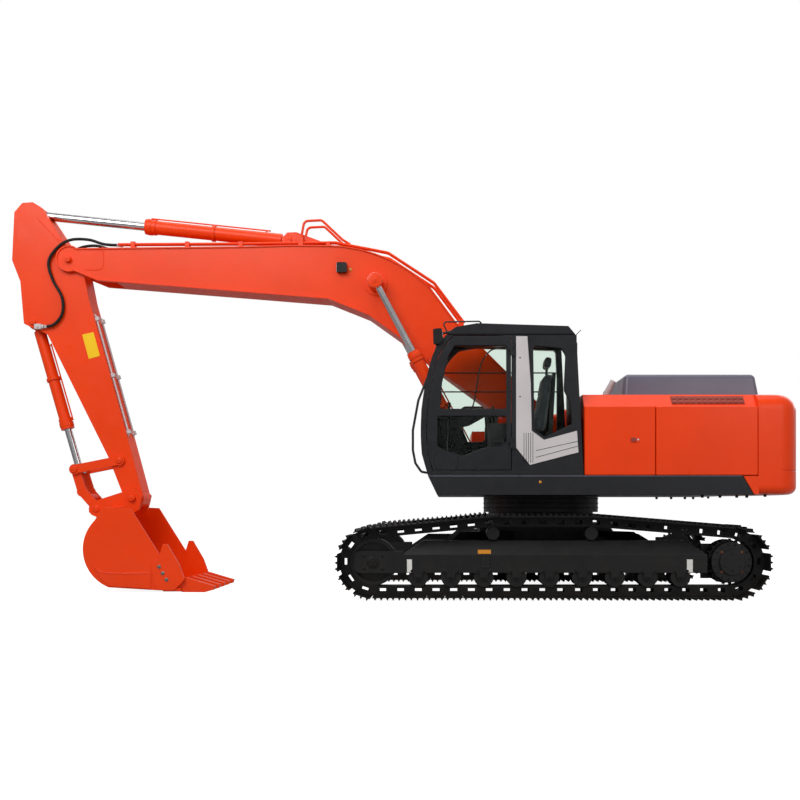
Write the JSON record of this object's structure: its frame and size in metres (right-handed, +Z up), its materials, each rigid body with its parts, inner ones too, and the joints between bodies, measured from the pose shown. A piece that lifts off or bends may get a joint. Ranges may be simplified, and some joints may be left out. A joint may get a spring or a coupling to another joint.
{
  "type": "crawler excavator",
  "caption": "Long-carriage crawler excavator with a slewing house and cab, a bent boom, an arm and a bucket worked by cylinders, standing parked with its bucket on the ground.",
  "frame": {"origin": "on the ground below the middle of the machine's overall length and width", "axes": "+X points to the machine's rear, +Y to its right side, +Z up; the operator's left side faces -Y"},
  "size_m": [9.2866, 3.19, 4.6502],
  "materials": {
    "track_steel": "bare worn steel",
    "frame_paint": "satin paint",
    "dark_paint": "satin paint",
    "orange_paint": "semi-gloss paint",
    "hood_grey": "satin paint",
    "window_glass": "tinted clear",
    "seat_fabric": "woven",
    "black_plastic": "grained",
    "silver_paint": "satin paint",
    "chrome_rod": "ground and plated",
    "hose_rubber": "matte"
  },
  "bodies": {
    "undercarriage": {"track_left": "track_steel", "track_right": "track_steel", "bottom_rollers": "frame_paint", "carrier_rollers": "frame_paint", "idlers": "frame_paint", "sprockets": "frame_paint", "side_frames": "frame_paint", "centre_frame": "frame_paint", "swing_bearing": "frame_paint"},
    "house": {"swing_frame": "dark_paint", "side_skirts": "dark_paint", "counterweight": "orange_paint", "engine_housing": "orange_paint", "fuel_tank": "orange_paint", "hydraulic_tank": "orange_paint", "tool_box": "orange_paint", "engine_block": "frame_paint", "radiator": "hood_grey", "cab_roof": "dark_paint", "cab_floor": "dark_paint", "cab_front": "dark_paint", "cab_rear": "dark_paint", "cab_right_wall": "dark_paint", "cab_left_wall": "dark_paint", "cab_glass": "window_glass", "seat": "seat_fabric", "control_consoles": "black_plastic", "side_grilles": "dark_paint", "exhaust_pipe": "silver_paint", "cab_trim": "silver_paint", "hand_rails": "dark_paint", "roof_fittings": "black_plastic"},
    "cab_door": {"cab_door": "dark_paint", "cab_door_glass": "window_glass"},
    "left_front_door": {"left_front_door": "orange_paint"},
    "left_rear_door": {"left_rear_door": "orange_paint"},
    "pump_door": {"pump_door": "orange_paint"},
    "engine_hood": {"engine_hood": "hood_grey"},
    "boom": {"boom": "orange_paint", "boom_pipes": "orange_paint", "boom_lamp": "black_plastic"},
    "lift_barrels": {"lift_barrels": "orange_paint"},
    "lift_rods": {"lift_rods": "chrome_rod"},
    "arm_cylinder_barrel": {"arm_cylinder_barrel": "orange_paint"},
    "arm_cylinder_rod": {"arm_cylinder_rod": "chrome_rod"},
    "arm": {"arm": "orange_paint", "arm_hoses": "hose_rubber", "arm_pipes": "silver_paint"},
    "bucket_cylinder_barrel": {"bucket_cylinder_barrel": "orange_paint"},
    "bucket_cylinder_rod": {"bucket_cylinder_rod": "chrome_rod"},
    "rocker": {"rocker": "orange_paint"},
    "power_link": {"power_link": "orange_paint"},
    "bucket": {"bucket": "orange_paint", "bucket_teeth": "orange_paint"}
  },
  "joints": [
    {"name": "swing", "type": "hinge", "parent": "undercarriage", "child": "house", "pos_m": [1.714, 0, 1.121], "axis": [0, 0, 1], "continuous": true},
    {"name": "cab_door", "type": "hinge", "parent": "house", "child": "cab_door", "pos_m": [1.27, -1.39, 2], "axis": [0, 0, 1], "range_deg": [0, 160]},
    {"name": "left_front_door", "type": "hinge", "parent": "house", "child": "left_front_door", "pos_m": [2.059, -1.376, 1.7], "axis": [0, 0, 1], "range_deg": [-95, 0]},
    {"name": "left_rear_door", "type": "hinge", "parent": "house", "child": "left_rear_door", "pos_m": [2.829, -1.376, 1.7], "axis": [0, 0, 1], "range_deg": [-95, 0]},
    {"name": "pump_door", "type": "hinge", "parent": "house", "child": "pump_door", "pos_m": [2.666, 1.376, 1.7], "axis": [0, 0, 1], "range_deg": [0, 95]},
    {"name": "engine_hood", "type": "hinge", "parent": "house", "child": "engine_hood", "pos_m": [4.13, 0, 2.226], "axis": [0, 1, 0], "range_deg": [0, 60]},
    {"name": "boom_lift", "type": "hinge", "parent": "house", "child": "boom", "pos_m": [1.664, 0, 1.91], "axis": [0, 1, 0], "range_deg": [-48, 41]},
    {"name": "lift_barrel_tilt", "type": "hinge", "parent": "house", "child": "lift_barrels", "pos_m": [0.914, 0, 1.45], "axis": [0, 1, 0], "range_deg": [-50, 50]},
    {"name": "lift_rod_slide", "type": "slide", "parent": "lift_barrels", "child": "lift_rods", "axis": [-0.4734, 0, 0.8809], "range_m": [-0.7, 0.6]},
    {"name": "arm_crowd", "type": "hinge", "parent": "boom", "child": "arm", "pos_m": [-3.952, 0, 3.953], "axis": [0, -1, 0], "range_deg": [-92, 28], "deforming": ["arm_hoses"]},
    {"name": "arm_barrel_tilt", "type": "hinge", "parent": "boom", "child": "arm_cylinder_barrel", "pos_m": [-1.33, 0, 4.215], "axis": [0, -1, 0], "range_deg": [-10, 10]},
    {"name": "arm_rod_slide", "type": "slide", "parent": "arm_cylinder_barrel", "child": "arm_cylinder_rod", "axis": [-0.9947, 0, 0.1025], "range_m": [-1.1, 0.4]},
    {"name": "bucket_curl", "type": "hinge", "parent": "arm", "child": "bucket", "pos_m": [-3.187, 0, 1.097], "axis": [0, -1, 0], "range_deg": [-50, 100]},
    {"name": "bucket_barrel_tilt", "type": "hinge", "parent": "arm", "child": "bucket_cylinder_barrel", "pos_m": [-4.396, 0, 3.215], "axis": [0, -1, 0], "range_deg": [-6, 6]},
    {"name": "bucket_rod_slide", "type": "slide", "parent": "bucket_cylinder_barrel", "child": "bucket_cylinder_rod", "axis": [0.2769, 0, -0.9609], "range_m": [-0.4, 0.7]},
    {"name": "rocker_turn", "type": "hinge", "parent": "arm", "child": "rocker", "pos_m": [-3.349, 0, 1.549], "axis": [0, -1, 0], "range_deg": [-45, 80]},
    {"name": "link_turn", "type": "hinge", "parent": "bucket", "child": "power_link", "pos_m": [-3.618, 0, 0.967], "axis": [0, -1, 0], "range_deg": [-90, 50]}
  ],
  "couplings": [
    {"joint": "lift_barrel_tilt", "follows": "boom_lift", "ratio": 1},
    {"joint": "lift_rod_slide", "follows": "boom_lift", "m_per_rad": 0.8},
    {"joint": "arm_barrel_tilt", "follows": "arm_crowd", "ratio": 0.0694},
    {"joint": "arm_rod_slide", "follows": "arm_crowd", "m_per_rad": 0.6406},
    {"joint": "bucket_barrel_tilt", "follows": "bucket_curl", "ratio": 0.03},
    {"joint": "bucket_rod_slide", "follows": "bucket_curl", "m_per_rad": 0.357},
    {"joint": "rocker_turn", "follows": "bucket_curl", "ratio": 0.744},
    {"joint": "link_turn", "follows": "bucket_curl", "ratio": -0.79}
  ]
}
